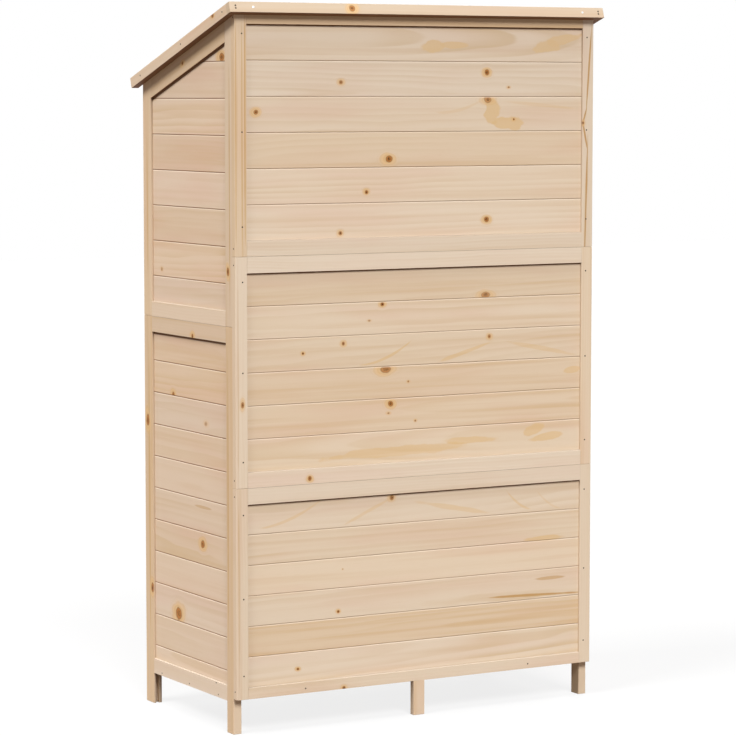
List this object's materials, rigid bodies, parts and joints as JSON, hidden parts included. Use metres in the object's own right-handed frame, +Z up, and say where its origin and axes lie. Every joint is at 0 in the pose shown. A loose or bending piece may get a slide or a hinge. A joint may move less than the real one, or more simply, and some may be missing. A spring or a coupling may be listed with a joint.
{
  "type": "garden shed",
  "caption": "Narrow lean-to garden tool shed of bare pine, framed panels of tongued boards on short legs, double doors, sloping roof with skirts.",
  "frame": {"origin": "on the ground, under the middle of the roof's plan", "axes": "+X along the doors to the right hand of someone facing them, +Y to the rear wall, +Z up"},
  "size_m": [1.091, 0.5696, 1.81],
  "materials": {
    "pine_frame": "planed bare pine",
    "pine_board": "planed bare pine boards",
    "zinc_steel": "bright zinc plate",
    "roof_felt": "grit-faced bitumen felt"
  },
  "bodies": {
    "shed": {"rear_lower_stiles": "pine_frame", "rear_lower_rails": "pine_frame", "rear_lower_boards": "pine_board", "rear_middle_stiles": "pine_frame", "rear_middle_rails": "pine_frame", "rear_middle_boards": "pine_board", "rear_upper_stiles": "pine_frame", "rear_upper_rails": "pine_frame", "rear_upper_boards": "pine_board", "left_side_rear_leg": "pine_frame", "left_side_front_leg": "pine_frame", "left_side_lower_rails": "pine_frame", "left_side_upper_stiles": "pine_frame", "left_side_upper_rails": "pine_frame", "left_side_lower_boards": "pine_board", "left_side_upper_boards": "pine_board", "left_joint_cleat": "pine_frame", "left_floor_bearer": "pine_frame", "left_skirt": "pine_frame", "left_hinge_frame_leaves": "zinc_steel", "left_hinge_pins": "zinc_steel", "right_side_rear_leg": "pine_frame", "right_side_front_leg": "pine_frame", "right_side_lower_rails": "pine_frame", "right_side_upper_stiles": "pine_frame", "right_side_upper_rails": "pine_frame", "right_side_lower_boards": "pine_board", "right_side_upper_boards": "pine_board", "right_joint_cleat": "pine_frame", "right_floor_bearer": "pine_frame", "right_skirt": "pine_frame", "right_hinge_frame_leaves": "zinc_steel", "right_hinge_pins": "zinc_steel", "middle_floor_bearer": "pine_frame", "front_sill": "pine_frame", "front_lintel": "pine_frame", "rear_foot": "pine_frame", "front_foot": "pine_frame", "back_skirt": "pine_frame", "roof_batten": "pine_frame", "floor_boards": "pine_board", "roof_boards": "pine_board", "roof_felt": "roof_felt"},
    "left_door": {"left_door_meeting_stile": "pine_frame", "left_door_hinge_stile": "pine_frame", "left_door_rails": "pine_frame", "left_door_boards": "pine_board", "left_door_knob": "pine_frame", "left_hinge_door_leaves": "zinc_steel", "bolt_keeper": "zinc_steel"},
    "right_door": {"right_door_meeting_stile": "pine_frame", "right_door_hinge_stile": "pine_frame", "right_door_rails": "pine_frame", "right_door_boards": "pine_board", "right_door_knob": "pine_frame", "right_hinge_door_leaves": "zinc_steel", "bolt_plate": "zinc_steel"},
    "bolt": {"bolt_rod": "zinc_steel"}
  },
  "joints": [
    {"name": "left_door_hinge", "type": "hinge", "parent": "shed", "child": "left_door", "pos_m": [-0.50175, -0.25526, 0.83689], "axis": [0, 0, -1], "range_deg": [0, 175]},
    {"name": "right_door_hinge", "type": "hinge", "parent": "shed", "child": "right_door", "pos_m": [0.50175, -0.25526, 0.83689], "axis": [0, 0, 1], "range_deg": [0, 175]},
    {"name": "bolt_slide", "type": "slide", "parent": "right_door", "child": "bolt", "axis": [-1, 0, 0], "range_m": [0, 0.025]}
  ]
}
